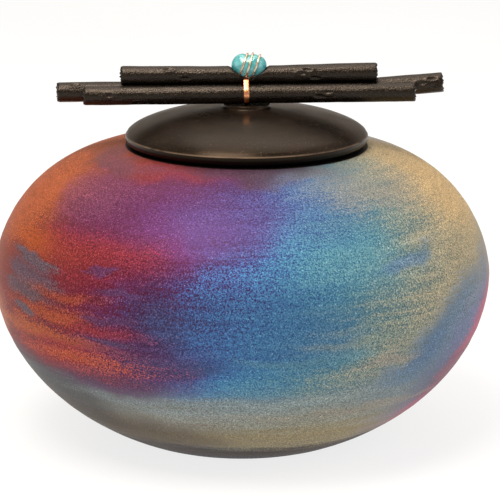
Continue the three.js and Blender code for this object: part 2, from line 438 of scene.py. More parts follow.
def end_tree(tree: Tree, made: Socket, material: Socket) -> None:
    """Ends a geometry tree with smooth shading, Realize Instances and Set Material."""
    smooth = put(tree, "GeometryNodeSetShadeSmooth", {"Geometry": made, "Shade Smooth": True})
    real = put(tree, "GeometryNodeRealizeInstances", {"Geometry": smooth.outputs[0]})
    dressed = put(tree, "GeometryNodeSetMaterial", {"Geometry": real.outputs[0], "Material": material})
    put(tree, "NodeGroupOutput", {"Geometry": dressed.outputs[0]})


def read_object(tree: Tree, helper: Socket) -> Socket:
    """The geometry of a helper object."""
    return put(tree, "GeometryNodeObjectInfo", {"Object": helper}).outputs["Geometry"]


def push(tree: Tree, geometry: Socket, **moved: Socket) -> Socket:
    """Moves a geometry's points, to a Position or by an Offset."""
    return put(tree, "GeometryNodeSetPosition", {"Geometry": geometry, **moved}).outputs[0]


def push_out(tree: Tree, geometry: Socket, depth: Socket) -> Socket:
    """Moves a geometry's points along their normals."""
    normal = put(tree, "GeometryNodeInputNormal").outputs[0]
    return push(tree, geometry, Offset=vector(tree, "SCALE", normal, scale=depth))


def join(tree: Tree, *values: Any) -> Socket:
    """Makes a vector of an X, a Y and a Z."""
    return put(tree, "ShaderNodeCombineXYZ", dict(enumerate(values))).outputs[0]


def turned_tree() -> Tree:
    """A tree that turns a profile round Z, as a wheel does, and leaves faint throwing rings.

    Returns:
        The geometry tree.
    """
    tree, given = geometry_tree("turned_clay", {
        "Profile": ("Object", None),
        "Turns": ("Int", 200),
        "Shift": ("Float", 0.0),
        "Ring Depth": ("Float", 0.0001),
        "Ring Spacing": ("Float", 0.004),
        "Seed": ("Float", 1.0),
        "Material": ("Material", None),
    })
    profile = read_object(tree, given["Profile"])
    count = put(tree, "GeometryNodeAttributeDomainSize", {"Geometry": profile}).outputs["Point Count"]
    grid = put(tree, "GeometryNodeMeshGrid", {"Size X": 1.0, "Size Y": 1.0, "Vertices Y": count,
                                             "Vertices X": plus(tree, given["Turns"], 1.0)})
    across, along, _ = xyz(tree, position(tree))
    last = minus(tree, count, 1.0)
    row = calc(tree, "ROUND", times(tree, plus(tree, along, 0.5), last))
    taken = put(tree, "GeometryNodeSampleIndex", {"Geometry": profile, "Value": position(tree),
                                                 "Index": row}, data_type="FLOAT_VECTOR", domain="POINT")
    radius, _, height = xyz(tree, taken.outputs[0])
    angle = times(tree, plus(tree, across, 0.5), 2 * math.pi)
    x = times(tree, radius, calc(tree, "COSINE", angle))
    y = times(tree, radius, calc(tree, "SINE", angle))
    turned = join(tree, x, y, height)
    shaped = push(tree, grid.outputs[0], Position=turned)
    closed = put(tree, "GeometryNodeMergeByDistance", {"Geometry": shaped, "Distance": 2e-6}).outputs[0]
    turn = calc(tree, "DIVIDE", xyz(tree, position(tree))[2], given["Ring Spacing"])
    rings = put(tree, "ShaderNodeTexNoise", {"W": plus(tree, turn, given["Seed"]), "Scale": 1.0,
                                            "Detail": 1.0}, noise_dimensions="1D").outputs["Fac"]
    wave = times(tree, minus(tree, rings, 0.5), given["Ring Depth"])
    moved = put(tree, "GeometryNodeTransform", {"Geometry": push_out(tree, closed, wave),
                                               "Translation": join(tree, given["Shift"])})
    end_tree(tree, moved.outputs[0], given["Material"])
    return tree


def swept_tree() -> Tree:
    """A tree that sweeps a round section along a path, with low ridges, scars and chipped ends.

    The path's own radius gives the section's size, so ends and swellings are set there.

    Returns:
        The geometry tree.
    """
    tree, given = geometry_tree("swept_along_path", {
        "Path": ("Object", None),
        "Sides": ("Int", 48),
        "Ridge Depth": ("Float", 0.0),
        "Ridge Length": ("Float", 0.02),
        "Ridge Width": ("Float", 0.003),
        "Scars": ("Object", None),
        "Scar Depth": ("Float", 0.0),
        "Scar Reach": ("Float", 0.003),
        "Middle": ("Float", 0.0),
        "Half Length": ("Float", 0.1),
        "Chip Depth": ("Float", 0.0),
        "Seed": ("Float", 1.0),
        "Material": ("Material", None),
    })
    section = put(tree, "GeometryNodeCurvePrimitiveCircle", {"Resolution": given["Sides"], "Radius": 1.0})
    bar = put(tree, "GeometryNodeCurveToMesh", {
        "Curve": read_object(tree, given["Path"]), "Profile Curve": section.outputs[0],
        "Scale": put(tree, "GeometryNodeInputRadius").outputs[0], "Fill Caps": True,
    })
    here = position(tree)
    stretch = join(tree, given["Ridge Length"], given["Ridge Width"], given["Ridge Width"])
    ridges = put(tree, "ShaderNodeTexNoise", {
        "Vector": vector(tree, "DIVIDE", here, stretch), "W": given["Seed"], "Scale": 1.0, "Detail": 2.5,
    }, noise_dimensions="4D").outputs["Fac"]
    low = times(tree, minus(tree, ridges, NOISE_TOP), given["Ridge Depth"])
    near = put(tree, "GeometryNodeProximity", {"Geometry": read_object(tree, given["Scars"]),
                                              "Sample Position": here}, target_element="POINTS")
    apart = vector(tree, "SUBTRACT", near.outputs["Position"], here)
    eye = vector(tree, "MULTIPLY", apart, (0.4, 1.0, 1.0))
    share = calc(tree, "DIVIDE", vector(tree, "LENGTH", eye), given["Scar Reach"])
    lip = calc(tree, "DIVIDE", minus(tree, share, 1.5), 0.5)
    hollow = minus(tree, bell(tree, share), times(tree, bell(tree, lip), 0.5))
    there = times(tree, hollow, near.outputs["Is Valid"])
    pit = times(tree, there, given["Scar Depth"])
    barked = push_out(tree, bar.outputs[0], minus(tree, low, pit))
    side = minus(tree, xyz(tree, position(tree))[0], given["Middle"])
    inner = minus(tree, given["Half Length"], calc(tree, "ABSOLUTE", side))
    close = calc(tree, "SUBTRACT", 1.0, calc(tree, "DIVIDE", inner, CHIP_REACH), clamp=True)
    teeth = put(tree, "ShaderNodeTexNoise", {"Vector": here, "Scale": TEETH_PER_METRE,
                                            "Detail": 2.0}).outputs["Fac"]
    chip = times(tree, minus(tree, teeth, NOISE_TOP), given["Chip Depth"])
    along = times(tree, times(tree, chip, close), calc(tree, "SIGN", side))
    end_tree(tree, push(tree, barked, Offset=join(tree, along)), given["Material"])
    return tree


def notch_tree() -> Tree:
    """A tree that pares a twig down to a flat floor between two slanting faces.

    Returns:
        The geometry tree.
    """
    tree, given = geometry_tree("pared_notch", {
        "Centre": ("Float", 0.0),
        "Floor Height": ("Float", 0.0),
        "Floor Half Width": ("Float", 0.003),
        "Slope": ("Float", 1.0),
        "Tool Mark Depth": ("Float", 0.0002),
        "Material": ("Material", None),
    })
    x, y, z = xyz(tree, position(tree))
    away = calc(tree, "ABSOLUTE", minus(tree, x, given["Centre"]))
    past = calc(tree, "MAXIMUM", minus(tree, away, given["Floor Half Width"]), 0.0)
    marks = put(tree, "ShaderNodeTexNoise", {"Scale": TOOL_MARKS_PER_METRE, "Detail": 1.0}).outputs["Fac"]
    rough = times(tree, minus(tree, marks, 0.5), given["Tool Mark Depth"])
    rise = times(tree, past, given["Slope"])
    face = plus(tree, plus(tree, given["Floor Height"], rise), rough)
    pared = join(tree, x, y, calc(tree, "MINIMUM", z, face))
    end_tree(tree, push(tree, given["Geometry"], Position=pared), given["Material"])
    return tree


def add_object(name: str, data: bpy.types.ID) -> Piece:
    """Makes an object of its data, at the origin, and puts it in the scene."""
    made = bpy.data.objects.new(name, data)
    bpy.context.scene.collection.objects.link(made)
    return made


def run_tree(name: str, tree: Tree, values: dict[str, Any],
             start: Piece | None = None) -> Piece:
    """Runs a geometry tree and keeps its result as a plain mesh.

    Args:
        name: the new piece's name.
        tree: the geometry tree.
        values: its inputs by name.
        start: a piece whose mesh the tree begins with; it is used up.

    Returns:
        The new piece, at the origin.
    """
    carrier = start or add_object("carrier", bpy.data.meshes.new("carrier"))
    modifier = carrier.modifiers.new("shape", "NODES")
    modifier.node_group = tree
    for item in tree.interface.items_tree:
        if item.item_type == "SOCKET" and item.in_out == "INPUT" and item.name in values:
            modifier[item.identifier] = values[item.name]
    bpy.context.view_layer.update()
    evaluated = carrier.evaluated_get(bpy.context.evaluated_depsgraph_get())
    mesh = bpy.data.meshes.new_from_object(evaluated)
    carrier.modifiers.remove(modifier)
    bpy.data.objects.remove(carrier)
    return keep(name, mesh)


def keep(name: str, mesh: bpy.types.Mesh) -> Piece:
    """Makes an object of a mesh, with its faces pointing out.

    Args:
        name: the piece's name.
        mesh: its finished mesh.

    Returns:
        The piece, at the origin.
    """
    made = bmesh.new()
    made.from_mesh(mesh)
    bmesh.ops.remove_doubles(made, verts=made.verts, dist=1e-7)
    bmesh.ops.dissolve_degenerate(made, edges=made.edges, dist=1e-7)
    if made.calc_volume(signed=True) < 0:
        bmesh.ops.reverse_faces(made, faces=made.faces)
    made.to_mesh(mesh)
    made.free()
    mesh.name = name
    return add_object(name, mesh)


def guide_mesh(name: str, points: Iterable[Sequence[float]], joined: bool = True) -> Piece:
    """A helper object of bare points, or of a line through them, for a tree to read.

    Args:
        name: the helper's name.
        points: places in millimetres.
        joined: whether neighbours are joined by edges.

    Returns:
        The helper object.
    """
    places = [tuple(value * MM for value in point) for point in points]
    mesh = bpy.data.meshes.new(name)
    edges = [(i, i + 1) for i in range(len(places) - 1)] if joined else []
    mesh.from_pydata(places, edges, [])
    return add_object(name, mesh)


def guide_path(name: str, points: Sequence[Sequence[float]], radii: Sequence[float]) -> Piece:
    """A helper curve for a tree to sweep along.

    Args:
        name: the helper's name.
        points: places in millimetres.
        radii: the section's radius at each, in millimetres.

    Returns:
        The helper curve.
    """
    curve = bpy.data.curves.new(name, "CURVE")
    curve.dimensions = "3D"
    spline = curve.splines.new("POLY")
    spline.points.add(len(points) - 1)
    for knot, point, radius in zip(spline.points, points, radii):
        knot.co = (*[value * MM for value in point], 1.0)
        knot.radius = radius * MM
    return add_object(name, curve)


def drop(*helpers: Piece) -> None:
    """Removes helper objects once their trees have run."""
    for helper in helpers:
        bpy.data.objects.remove(helper)


def dress(piece: Piece, material: Material) -> None:
    """Gives a piece one material."""
    piece.data.materials.clear()
    piece.data.materials.append(material)


def stand_in(piece: Piece, node: str) -> None:
    """Lets a piece stand for its node, on the urn's one body.

    Args:
        piece: the finished piece.
        node: the CAD node that it stands for.
    """
    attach(piece, "root")
    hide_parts(node)
    log.info("%s stands for %s with %d faces", piece.name, node, len(piece.data.polygons))


@dataclass(frozen=True)
class FumedGlaze:
    """Copper matt raku glaze, fired and fumed: a fine crystalline skin whose colour runs from
    copper orange and crimson through violet and blue to sand, torn into streaks by the draught.
    It also carries painted glints, and painted shade towards the foot and under the lid's rim."""

    sweep: tuple[tuple[float, str], ...]
    clouds: tuple[Cloud, ...]
    bands: tuple[Band, ...]
    shades: tuple[Cloud, ...]
    seat_radius: float
    seat_shift: float
    # Painted shade under the lid's rim: its colour, then the heights it spans and the softness of its edge
    # round the seat.
    painted_shade: str = "0E0A08"
    seat_shade_low_mm: float = 100.0
    seat_shade_high_mm: float = 110.0
    seat_shade_soft_mm: float = 0.8
    grain_mm: float = 0.7
    # Size of the painted glints: bright specks that stand in for the glaze's sparkle.
    painted_glint_mm: float = 0.6
    streak_mm: tuple[float, float, float] = (42.0, 42.0, 3.2)
    fine_streak_mm: tuple[float, float, float] = (18.0, 18.0, 1.2)
    drift_mm: float = 26.0
    drift_reach_mm: float = 12.0
    lean: float = 0.3
    lean_height_mm: float = 100.0
    streak_fray: float = 0.075
    grain_fray: float = 0.23
    band_wave_mm: float = 12.0
    # Painted shade by height: the colour is scaled by the first factor below the lower height and by the
    # second, clear, above the upper one, so the vessel darkens towards the foot.
    painted_shade_low_factor: float = 0.76
    clear: float = 0.84
    painted_shade_low_mm: float = 72.0
    painted_shade_high_mm: float = 132.0

    def material(self, vessel: Vessel) -> Material:
        """Builds the glaze.

        Args:
            vessel: the form that the clouds lie on.

        Returns:
            The material.
        """
        look = Surface("fumed_copper_matt_glaze", Metallic=0.35, Specular_IOR_Level=0.14)
        tree = look.tree
        drift = put(tree, "ShaderNodeTexNoise", {"Vector": look.place, "Scale": 1 / (self.drift_mm * MM),
                                                "Detail": 2.0}).outputs["Color"]
        reach = self.drift_reach_mm * MM
        centred = vector(tree, "SUBTRACT", drift, (0.5, 0.5, 0.5))
        place = vector(tree, "ADD", look.place,
                       vector(tree, "MULTIPLY", centred, (reach * 2, reach * 2, reach)))
        streaks = minus(tree, look.grain(self.streak_mm, 3.0, 1.3), 0.5)
        fine = minus(tree, look.grain(self.fine_streak_mm, 2.0, 5.1), 0.5)
        streaks = plus(tree, streaks, times(tree, fine, 0.6))
        speck = look.grain((self.grain_mm,) * 3, 2.0, 2.2)
        speckle = minus(tree, speck, 0.5)
        torn = {edge: plus(tree, times(tree, streaks, edge.value[1]), times(tree, speckle, edge.value[2]))
                for edge in Edge}
        colour = self.round_the_vessel(look, place, streaks, speckle)
        for cloud in self.clouds:
            colour = self.lay(look, cloud, vessel, place, torn[cloud.edge], colour)
        height = look.height()
        # Painted shade that darkens the colour towards the foot.
        height_shade = look.spread(height, self.painted_shade_low_mm * MM, self.painted_shade_high_mm * MM, self.painted_shade_low_factor, self.clear)
        colour = vector(tree, "SCALE", colour, scale=height_shade)
        wave = self.band_wave_mm * MM
        wavy = plus(tree, plus(tree, height, times(tree, streaks, wave)), times(tree, speckle, wave))
        for band in self.bands:
            low, high, soft = band.low * MM, band.high * MM, band.soft * MM
            up = look.spread(wavy, low - soft, low + soft)
            down = look.spread(wavy, high - soft, high + soft, 1.0, 0.0)
            share = times(tree, times(tree, up, down), band.strength)
            colour = look.mix(share, colour, linear(band.colour))
        for cloud in self.shades:
            colour = self.lay(look, cloud, vessel, place, torn[cloud.edge], colour)
        # Painted shade on the seat under the lid's rim and inside the mouth.
        colour = look.mix(self.seat_painted_shade(look, height), colour, linear(self.painted_shade))
        bright = look.spread(speck, 0.36, 0.66, 0.56, 1.46, smooth=False)
        streaky = look.spread(streaks, -0.3, 0.3, 0.88, 1.12, smooth=False)
        lit = vector(tree, "SCALE", colour, scale=times(tree, bright, streaky))
        # Painted glints: rare specks lifted well above the glaze's own colour.
        painted_glints = look.spread(look.grain((self.painted_glint_mm,) * 3, 1.0, 9.4), 0.62, 0.72, 0.0, 0.8)
        painted_glint_colour = vector(tree, "MULTIPLY_ADD", lit, (1.9, 1.9, 1.9), (0.07, 0.065, 0.06))
        rough = look.spread(speck, 0.3, 0.7, 0.45, 0.62, smooth=False)
        return look.finish(look.mix(painted_glints, lit, painted_glint_colour), rough, speck, 0.035)

    def seat_painted_shade(self, look: Surface, height: Socket) -> Socket:
        """Where the painted shade lies: on the seat under the lid, just past its rim, and inside the mouth.

        Args:
            look: the material under way.
            height: the height.

        Returns:
            The share of painted shade.
        """
        tree = look.tree
        aside = vector(tree, "ADD", look.place, (-self.seat_shift * MM, 0.0, 0.0))
        radius = vector(tree, "LENGTH", vector(tree, "MULTIPLY", aside, (1.0, 1.0, 0.0)))
        rim = self.seat_radius * MM
        near = look.spread(radius, rim, rim + self.seat_shade_soft_mm * MM, 1.0, 0.0)
        above = look.spread(height, self.seat_shade_low_mm * MM, self.seat_shade_high_mm * MM)
        return times(tree, near, above)

    def round_the_vessel(self, look: Surface, place: Socket, streaks: Socket,
                         speckle: Socket) -> Socket:
        """Runs the broad colours round the vessel, leaning with height and frayed by streaks and grain.

        Args:
            look: the material under way.
            place: drifting coordinates.
            streaks: long low noise round zero.
            speckle: fine noise round zero.

        Returns:
            The colour.
        """
        tree = look.tree
        x, y, z = xyz(tree, place)
        turn = calc(tree, "ARCTAN2", x, times(tree, y, -1.0))
        whole = times(tree, turn, 0.5 / math.pi)
        rise = minus(tree, z, self.lean_height_mm * MM)
        leant = minus(tree, whole, times(tree, rise, self.lean / 360 / MM))
        frayed = plus(tree, leant, times(tree, streaks, self.streak_fray))
        frayed = plus(tree, frayed, times(tree, speckle, self.grain_fray))
        along = calc(tree, "FRACT", plus(tree, frayed, 0.5))
        ramp = put(tree, "ShaderNodeValToRGB", {0: along})
        stops = ramp.color_ramp.elements
        for azimuth, code in self.sweep[1:-1]:
            stops.new(azimuth / 360 + 0.5).color = linear(code)
        stops[0].color = linear(self.sweep[0][1])
        stops[-1].color = linear(self.sweep[-1][1])
        return ramp.outputs["Color"]

    def lay(self, look: Surface, cloud: Cloud, vessel: Vessel, place: Socket,
            torn: Socket, under: Any) -> Socket:
        """Lays one cloud over the colour so far.

        Args:
            look: the material under way.
            cloud: what is laid.
            vessel: the form it lies on.
            place: drifting coordinates.
            torn: noise that tears its edge.
            under: the colour so far.

        Returns:
            The colour with the cloud on it.
        """
        turn = math.radians(cloud.azimuth)
        radius = vessel.radius_at(cloud.height) * MM
        centre = (radius * math.sin(turn), -radius * math.cos(turn), cloud.height * MM)
        size = (cloud.reach * MM, max(cloud.reach, 45.0) * MM, cloud.rise * MM)
        local = put(look.tree, "ShaderNodeMapping", {
            "Vector": place, "Location": centre, "Scale": size,
            "Rotation": Euler((0.0, -math.radians(cloud.tilt), turn)),
        }, vector_type="TEXTURE")
        far = vector(look.tree, "LENGTH", local.outputs[0])
        inside = times(look.tree, minus(look.tree, 1.0, far), cloud.cover)
        half = cloud.edge.value[0] / 2
        share = look.spread(plus(look.tree, inside, torn), -half, half, 0.0, cloud.strength)
        return look.mix(share, under, linear(cloud.colour))


@dataclass(frozen=True)
class SmokedClay:
    """Burnished clay smoked black-brown: a satin skin with a fine dusty grain, with painted shade
    on the rim's side and underside and a painted highlight along its upper edge."""

    edge_height: float
    dark: str = "120D09"
    light: str = "1B140F"
    # Colour of the painted shade on the rim's side and underside.
    painted_shade: str = "060504"
    # Colour of the painted highlight along the rim's upper edge.
    rubbed_and_highlight: str = "6E5E50"
    dust: str = "8A7868"
    grain_mm: float = 0.6

    def material(self) -> Material:
        """Builds the smoked clay."""
        look = Surface("smoked_burnished_clay", Specular_IOR_Level=0.26, Specular_Tint=linear("F0D2B4"))
        speck = look.grain((self.grain_mm,) * 3, 2.0, 3.3)
        broad = look.grain((24.0, 24.0, 9.0), 2.0, 0.7)
        colour = look.mix(look.spread(broad, 0.35, 0.65), linear(self.dark), linear(self.light))
        colour = look.mix(look.spread(speck, 0.6, 0.74, 0.0, 0.3), colour, linear(self.dust))
        height = look.height()
        edge = self.edge_height * MM
        # Painted shade: the rim's side and the underside go near black.
        under_rim_shade = look.spread(height, edge - 0.25 * MM, edge + 0.05 * MM, 1.0, 0.0)
        colour = look.mix(under_rim_shade, colour, linear(self.painted_shade))
        # Painted highlight: worn holds a pale broken line along the rim's upper edge.
        patchy = look.grain((14.0, 14.0, 14.0), 2.0, 5.5)
        lower = look.spread(height, edge - 0.1 * MM, edge + 0.15 * MM)
        upper = look.spread(height, edge + 0.3 * MM, edge + 0.9 * MM, 1.0, 0.0)
        worn = times(look.tree, times(look.tree, lower, upper), look.spread(patchy, 0.35, 0.6, 0.15, 0.75))
        colour = look.mix(worn, colour, linear(self.rubbed_and_highlight))
        return look.finish(colour, look.spread(broad, 0.3, 0.7, 0.27, 0.36), speck, 0.03)


@dataclass(frozen=True)
class StainedTwig:
    """A peeled twig stained near black and waxed: a glossy skin with grain that runs along it,
    dull and browner where the notch was pared."""

    notch: "Notch"
    dark: str = "070504"
    light: str = "120D0A"
    # Pale flecks in the pores of the grain.
    rubbed_and_highlight: str = "4A3E32"
    pared: str = "261A13"
    grain_mm: tuple[float, float, float] = (9.0, 0.8, 0.8)

    def material(self) -> Material:
        """Builds the stained wood."""
        look = Surface("black_stained_twig", Specular_IOR_Level=0.5, Specular_Tint=linear("ECDCCC"))
        tree = look.tree
        grain = look.grain(self.grain_mm, 3.0, 4.2)
        pores = look.grain((1.0, 0.5, 0.5), 2.0, 8.1)
        colour = look.mix(look.spread(grain, 0.35, 0.68), linear(self.dark), linear(self.light))
        colour = look.mix(look.spread(pores, 0.6, 0.74, 0.0, 0.6), colour, linear(self.rubbed_and_highlight))
        x, _, z = xyz(tree, look.place)
        away = calc(tree, "ABSOLUTE", minus(tree, x, self.notch.centre * MM))
        past = calc(tree, "MAXIMUM", minus(tree, away, self.notch.floor_width / 2 * MM), 0.0)
        face = plus(tree, times(tree, past, self.notch.slope), self.notch.bottom * MM)
        over = look.spread(minus(tree, z, face), -0.5 * MM, -0.15 * MM)
        within = look.spread(away, self.notch.width / 2 * MM, (self.notch.width / 2 + 0.3) * MM, 1.0, 0.0)
        cut = times(tree, over, within)
        rough = look.spread(pores, 0.35, 0.65, 0.16, 0.36)
        rough = plus(tree, rough, times(tree, cut, 0.35))
        height = plus(tree, times(tree, grain, 0.6), times(tree, pores, 0.8))
        return look.finish(look.mix(cut, colour, linear(self.pared)), rough, height, 0.22)


@dataclass(frozen=True)
class FlattenedCopper:
    """Copper rolled flat and left bright, with painted shade that darkens it low down."""

    bright: str = "F2A878"
    # Painted shade: the strap darkens to this colour low down.
    shaded_low: str = "9C4A22"
    low_mm: float = 162.0
    high_mm: float = 167.0
    wave_mm: float = 2.0

    def material(self) -> Material:
        """Builds the copper."""
        look = Surface("rolled_copper", Metallic=1.0)
        stain = look.grain((1.2, 1.2, 2.4), 2.0, 6.0)
        wavy = plus(look.tree, look.height(), times(look.tree, stain, self.wave_mm * MM))
        # Painted shade: bright above the upper height, darker below the lower one.
        unshaded_share = look.spread(wavy, self.low_mm * MM, self.high_mm * MM)
        colour = look.mix(unshaded_share, linear(self.shaded_low), linear(self.bright))
        rolled = look.grain((0.5, 0.5, 3.0), 1.0, 2.0)
        return look.finish(colour, look.spread(stain, 0.3, 0.7, 0.22, 0.36), rolled, 0.01)


@dataclass(frozen=True)
class TumbledTurquoise:
    """Turquoise tumbled smooth: even blue-green with paler cloudy patches and a waxy gloss."""

    deep: str = "42A4AA"
    pale: str = "84CCD2"
    matrix: str = "2A6F6A"

    def material(self) -> Material:
        """Builds the stone."""
        look = Surface("tumbled_turquoise", IOR=1.6)
        cloudy = look.grain((4.0, 4.0, 4.0), 3.0, 1.1)
        speck = look.grain((0.6, 0.6, 0.6), 2.0, 7.3)
        colour = look.mix(look.spread(cloudy, 0.36, 0.66), linear(self.deep), linear(self.pale))
        colour = look.mix(look.spread(speck, 0.66, 0.8, 0.0, 0.3), colour, linear(self.matrix))
        return look.finish(colour, look.spread(cloudy, 0.3, 0.7, 0.12, 0.26), speck, 0.015)


@dataclass(frozen=True)
class RoseWire:
    """Soft copper wire, drawn bright, with a pinkish lustre."""

    bright: str = "FFEEDC"
    dull: str = "EAC4A0"

    def material(self) -> Material:
        """Builds the wire's metal."""
        look = Surface("drawn_rose_copper_wire", Metallic=1.0)
        stain = look.grain((1.5, 1.5, 1.5), 2.0, 3.9)
        colour = look.mix(look.spread(stain, 0.35, 0.65), linear(self.dull), linear(self.bright))
        drawn = look.grain((0.3, 0.3, 0.3), 1.0, 0.4)
        return look.finish(colour, look.spread(stain, 0.3, 0.7, 0.25, 0.4), drawn, 0.01)


@dataclass
class Pot:
    """The vessel and the lid, both turned on a wheel."""

    vessel: Vessel
    lid: Lid
    turns: int = 224
    vessel_rings: float = 0.22
    lid_rings: float = 0.06
    ring_spacing: float = 4.5

    def build(self, glaze: Material, clay: Material) -> None:
        """Turns both pieces and lets them stand for their nodes.

        Args:
            glaze: the vessel's material.
            clay: the lid's material.
        """
        tree = turned_tree()
        self.turn("glazed_vessel", "urn_body", "glaze", tree, self.vessel.profile(), 0.0,
                  self.vessel_rings, glaze)
        self.turn("smoked_lid", "lid", "lid_clay", tree, self.lid.profile(), self.lid.shift,
                  self.lid_rings, clay)

    def turn(self, name: str, node: str, slot: str, tree: Tree, profile: list[Point],
             shift: float, ring_depth: float, material: Material) -> None:
        """Turns one profile into a piece.

        Args:
            name: the piece's name.
            node: the node it stands for.
            slot: not used.
            tree: the turning tree.
            profile: its outline in millimetres.
            shift: how far it lies to the right.
            ring_depth: how deep the throwing rings are.
            material: its finish.
        """
        guide = guide_mesh(name + "_profile", [(r, 0.0, z) for r, z in profile])
        piece = run_tree(name, tree, {
            "Profile": guide, "Turns": self.turns, "Shift": shift * MM,
            "Ring Depth": ring_depth * MM, "Ring Spacing": self.ring_spacing * MM, "Seed": 3.0,
            "Material": material,
        })
        drop(guide)
        stand_in(piece, node)


@dataclass
class Twig:
    """One dark twig, in millimetres, that lies along X. A kick bends it up past a place, and a sag
    hollows its top towards the middle. Scars are places along it with angles round it."""

    name: str
    node: str
    left: float
    right: float
    radius: float
    y: float
    z: float
    lean: float
    origin_x: float
    kick: float = 0.0
    kick_start: float = 0.0
    sag: float = 0.0
    sag_reach: float = 45.0
    scars: tuple[tuple[float, float], ...] = ()
    seed: float = 1.0

    def height(self, x: float) -> float:
        """Height of the twig's middle line at x."""
        return self.z + self.lean * (x - self.origin_x) + self.kick * max(x - self.kick_start, 0.0)

    def surface(self, x: float, angle: float) -> tuple[float, float, float]:
        """A point on the twig's skin at x and an angle from the back, upwards."""
        return (x, self.y + self.radius * math.cos(angle), self.height(x) + self.radius * math.sin(angle))

    def path(self) -> tuple[list[tuple[float, float, float]], list[float]]:
        """The middle line's points and the twig's radius at each, with slightly worn ends.

        Returns:
            The points, and the radii.
        """
        ends = [(0.0, 0.02), (0.01, 0.25), (0.02, 0.5), (0.035, 0.7), (0.06, 0.86), (0.14, 0.93),
                (0.35, 0.965), (0.8, 0.985)]
        worn, spacing = 1.5, 0.7
        stretch = self.right - self.left
        inner = steps(worn, stretch - worn, int(stretch / spacing))
        places = [a for a, _ in ends] + inner + [stretch - a for a, _ in reversed(ends)]
        shares = [s for _, s in ends] + [1.0] * len(inner) + [s for _, s in reversed(ends)]
        points, radii = [], []
        for place, share in zip(places, shares):
            x = self.left + place
            thin = self.sag * math.exp(-((x - self.origin_x) / self.sag_reach) ** 2) / 2
            points.append((x, self.y, self.height(x) - thin))
            radii.append(share * (self.radius - thin))
        return points, radii

    def build(self, tree: Tree, material: Material) -> Piece:
        """Sweeps the twig.

        Args:
            tree: the sweeping tree.
            material: the stained wood.

        Returns:
            The piece.
        """
        points, radii = self.path()
        guide = guide_path(self.name + "_path", points, radii)
        scars = guide_mesh(self.name + "_scars", [self.surface(x, a) for x, a in self.scars], joined=False)
        piece = run_tree(self.name, tree, {
            "Path": guide, "Sides": 72, "Ridge Depth": 0.5 * MM, "Ridge Length": 14.0 * MM,
            "Ridge Width": 3.0 * MM, "Scars": scars, "Scar Depth": 0.55 * MM, "Scar Reach": 0.85 * MM,
            "Middle": (self.left + self.right) / 2 * MM, "Half Length": (self.right - self.left) / 2 * MM,
            "Chip Depth": 4.5 * MM, "Seed": self.seed, "Material": material,
        })
        drop(guide, scars)
        return piece


@dataclass(frozen=True)
class Notch:
    """The notch pared in the upper twig, in millimetres: a flat floor between two slanting faces."""

    bottom: float
    width: float = 21.6
    floor_width: float = 4.2
    depth: float = 7.1
    centre: float = 3.35

    @property
    def slope(self) -> float:
        """How steeply its faces rise."""
        return self.depth / ((self.width - self.floor_width) / 2)


